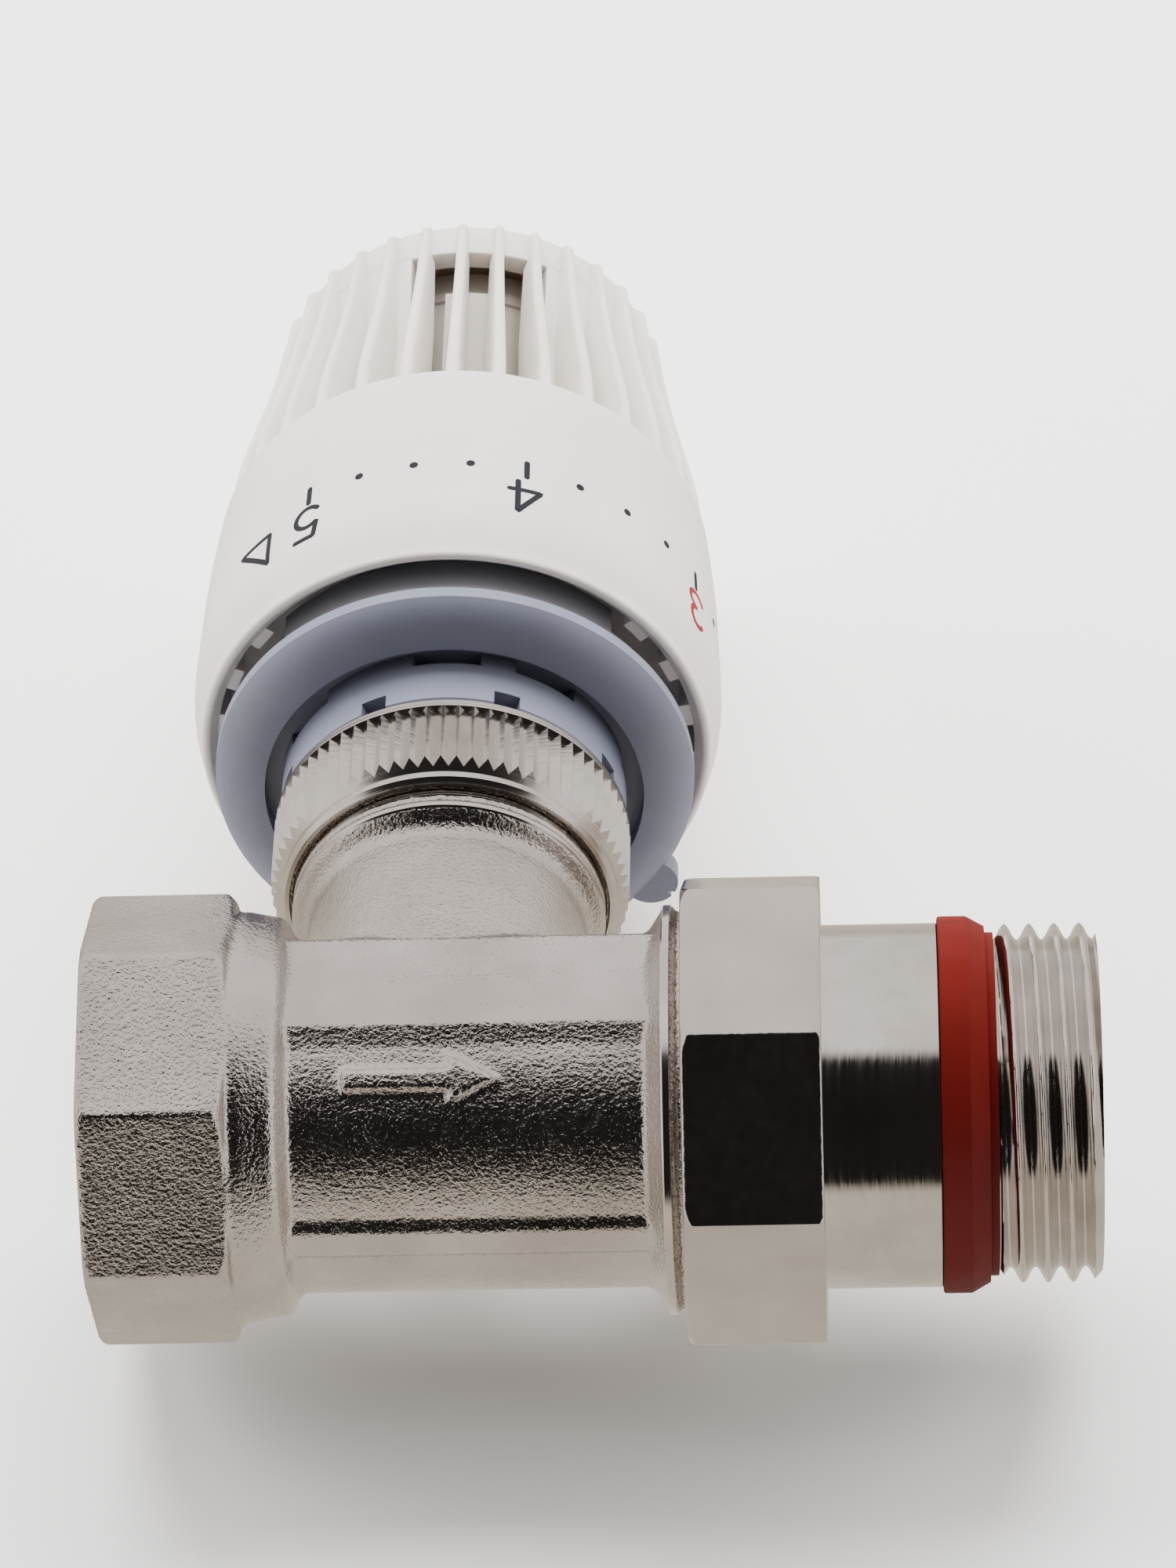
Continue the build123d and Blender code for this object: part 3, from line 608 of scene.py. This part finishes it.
def thread_radius(x, angle):
    """The G1 thread's radius: a rounded 55 degree form, cut back at its run-out and at its first turn."""
    share = (x / THREAD_PITCH - angle / (2 * pi)) % 1.0
    height = min(max((1 - abs(2 * share - 1) - 0.07) / 0.88, 0.0), 1.0)
    height = height - 0.06 * sin(2 * pi * height)
    return min(THREAD_ROOT + (THREAD_CREST - THREAD_ROOT) * height, 15.3 + (x - THREAD_LOW) * 1.9,
               THREAD_CREST - max(0.0, x - THREAD_HIGH) * 1.15)


def key_lug(side):
    """One of the two lugs in the tail's bore that a key turns it by."""
    low, high = sorted((side * 11.2, side * 13.0))
    section = ((-1.6, low), (1.6, low), (1.6, high), (-1.6, high))
    return [(x, y, z) for x in (79.0, 88.0) for y, z in section], BLOCK_FACES


def make_tail():
    outside = rounded([(TAIL_BORE, 63.2), (18.7, 63.2), (18.7, 65.3), (16.85, 65.3), (16.85, 78.3),
                       (15.3, 78.3), (15.3, THREAD_LOW)], [0, 0.2, 0.2, 0.1, 0.1, 0.1, 0])
    grid = [(None, x) for x in np.arange(THREAD_LOW + 0.08, 92.96, 0.075)]
    profile = outside + grid + [(15.6, 93.0), (12.9, 93.0), (TAIL_BORE, 92.6)]
    segments = 224
    verts = []
    for step in range(segments):
        angle = 2 * pi * step / segments
        for radius, x in profile:
            verts.append(place(thread_radius(x, angle) if radius is None else radius, x, angle, "flow"))
    faces = skin(segments, len(profile), segments)
    tail = closed_object("threaded_tail", [(verts, faces), key_lug(-1), key_lug(1)], 38)
    finish_piece(tail, "tail", turned_x, "turned_nickel", "union_tail")


make_tail()


# ---------------------------------------------------------------- forgings with their edges softened
def forged_copy(name, node, body, material, voxel, rounds):
    """A copy of a forging's shape with every edge softened: small voxels, then rounds of smoothing."""
    work = bpy.data.objects.new(name + "_work", nodes[node].data.copy())
    bpy.context.scene.collection.objects.link(work)
    remesh = work.modifiers.new("remesh", "REMESH")
    remesh.mode = "VOXEL"
    remesh.voxel_size = mm(voxel)
    relax = work.modifiers.new("relax", "SMOOTH")
    relax.factor = 0.5
    relax.iterations = rounds
    bpy.context.view_layer.update()
    finished = bpy.data.meshes.new_from_object(work.evaluated_get(bpy.context.evaluated_depsgraph_get()))
    bpy.data.objects.remove(work)
    piece = bpy.data.objects.new(name, finished)
    bpy.context.scene.collection.objects.link(piece)
    smooth(piece, 60)
    finish_piece(piece, body, material, "forged_nickel", node)


forged_copy("forged_body", "valve_body", "root", blasted, 0.30, 3)
forged_copy("forged_union_nut", "union_nut", "union_nut", tumbled, 0.22, 3)


# ---------------------------------------------------------------- cut threads that show beside the two nuts
OUTLET_TURNS = [(17.6, 53.0), (18.9, 53.0), (19.0, 53.15), (19.0, 53.75), (18.3, 54.15), (18.3, 54.8),
                (19.0, 55.2), (19.0, 56.3), (17.6, 56.3)]
NECK_TURNS = [(13.2, 26.2), (14.6, 26.05), (15.0, 26.4), (15.0, 26.9), (14.3, 27.4), (14.98, 27.9),
              (14.98, 28.4), (14.3, 28.9), (14.98, 29.4), (14.98, 31.5), (13.2, 31.5)]


def cut_rings(name, profile, around, material):
    """The turns of a thread that show, as rings on the body."""
    rings = closed_object(name, [turned(profile, 192, around)], 30)
    finish_piece(rings, "root", material, "turned_nickel")


cut_rings("outlet_thread_turns", OUTLET_TURNS, "flow", turned_x)
cut_rings("neck_thread_turns", NECK_TURNS, "head", turned_y)


# ---------------------------------------------------------------- stage, light and camera (metres)
FLOOR_SIZE, FLOOR_ALBEDO = 6.0, 0.97
LIGHT_TARGET = Vector((0.045, 0.045, 0.0))
# name, location, width, height, watts, colour
SOFTBOXES = [
    ("back_softbox", (0.05, 0.75, 0.95), 1.3, 0.8, 44.0, (1.0, 0.985, 0.965)),
    ("left_softbox", (-0.95, 0.5, 0.45), 0.7, 0.7, 14.0, (1.0, 0.985, 0.97)),
    ("right_softbox", (1.05, 0.5, 0.42), 0.7, 0.7, 11.0, (1.0, 0.985, 0.97)),
]
ROOM_STRENGTH, GAP_STRENGTH = 1.35, 0.02
GAP_ANGLE, GAP_HALF = 146.0, 44.0      # degrees from +Y towards +Z, and its half width
TABLE_TINT, ROOM_TINT = (0.66, 0.61, 0.52, 1.0), (1.0, 0.965, 0.94, 1.0)
TINT_LOW, TINT_HIGH = -0.12, 0.05      # the heights, as a direction's Z, between which the tint changes
VIEW_AZIMUTH, VIEW_ELEVATION, VIEW_ROLL = 2.8744, 41.3579, -3.0642     # degrees
VIEW_DISTANCE = 0.708513
VIEW_AIM = Vector((0.045056, 0.045362, 0.000493))
LENS, SENSOR_WIDTH = 166.906, 36.0     # mm


def make_floor():
    """A pale floor under the part, which mirrors don't see."""
    mesh = bpy.data.meshes.new("floor")
    half = FLOOR_SIZE / 2
    mesh.from_pydata([(-half, -half, 0), (half, -half, 0), (half, half, 0), (-half, half, 0)], [],
                     [(0, 1, 2, 3)])
    floor = bpy.data.objects.new("floor", mesh)
    floor.location = (0, 0, cad_box[0][2])
    bpy.context.scene.collection.objects.link(floor)
    floor.data.materials.append(Shader("floor", (FLOOR_ALBEDO,) * 3, 0.0, 0.9).material)
    floor.visible_glossy = False


def softbox(name, location, width, height, watts, color):
    """An area light turned to the part, which mirrors don't see."""
    data = bpy.data.lights.new(name, "AREA")
    data.shape = "RECTANGLE"
    data.size = width
    data.size_y = height
    data.energy = watts
    data.color = color
    lamp = bpy.data.objects.new(name, data)
    lamp.location = location
    lamp.rotation_euler = (Vector(location) - LIGHT_TARGET).to_track_quat("Z", "Y").to_euler()
    bpy.context.scene.collection.objects.link(lamp)
    lamp.visible_glossy = False


def make_room():
    """A bright room with a dark gap over and behind the viewer, which the metal mirrors."""
    world = bpy.data.worlds.new("studio")
    bpy.context.scene.world = world
    world.use_nodes = True
    tree = world.node_tree
    background = tree.nodes["Background"]
    towards = tree.nodes.new("ShaderNodeVectorMath")
    towards.operation = "DOT_PRODUCT"
    direction = tree.nodes.new("ShaderNodeTexCoord").outputs["Generated"]
    tree.links.new(direction, towards.inputs[0])
    towards.inputs[1].default_value = (0.0, cos(radians(GAP_ANGLE)), sin(radians(GAP_ANGLE)))
    gap = tree.nodes.new("ShaderNodeMapRange")
    gap.inputs["From Min"].default_value = cos(radians(GAP_HALF + 3))
    gap.inputs["From Max"].default_value = cos(radians(GAP_HALF - 4))
    gap.inputs["To Min"].default_value = ROOM_STRENGTH
    gap.inputs["To Max"].default_value = GAP_STRENGTH
    tree.links.new(towards.outputs["Value"], gap.inputs["Value"])
    tree.links.new(gap.outputs["Result"], background.inputs["Strength"])

    # the room is whiter above than the table it stands on
    height = tree.nodes.new("ShaderNodeSeparateXYZ")
    tree.links.new(direction, height.inputs[0])
    level = tree.nodes.new("ShaderNodeMapRange")
    level.inputs["From Min"].default_value = TINT_LOW
    level.inputs["From Max"].default_value = TINT_HIGH
    tree.links.new(height.outputs["Z"], level.inputs["Value"])
    tint = tree.nodes.new("ShaderNodeValToRGB")
    tint.color_ramp.elements[0].color = TABLE_TINT
    tint.color_ramp.elements[1].color = ROOM_TINT
    tree.links.new(level.outputs["Result"], tint.inputs["Fac"])
    tree.links.new(tint.outputs["Color"], background.inputs["Color"])


def make_camera():
    azimuth, elevation = radians(VIEW_AZIMUTH), radians(VIEW_ELEVATION)
    back = Vector((sin(azimuth) * cos(elevation), -cos(azimuth) * cos(elevation), sin(elevation)))
    data = bpy.data.cameras.new("camera")
    data.lens = LENS
    data.sensor_width = SENSOR_WIDTH
    data.clip_start = 0.01
    camera = bpy.data.objects.new("camera", data)
    camera.location = VIEW_AIM + back * VIEW_DISTANCE
    camera.rotation_mode = "QUATERNION"
    camera.rotation_quaternion = back.to_track_quat("Z", "Y") @ Quaternion((0, 0, 1), radians(VIEW_ROLL))
    bpy.context.scene.collection.objects.link(camera)
    bpy.context.scene.camera = camera


make_floor()
for row in SOFTBOXES:
    softbox(*row)
make_room()
make_camera()
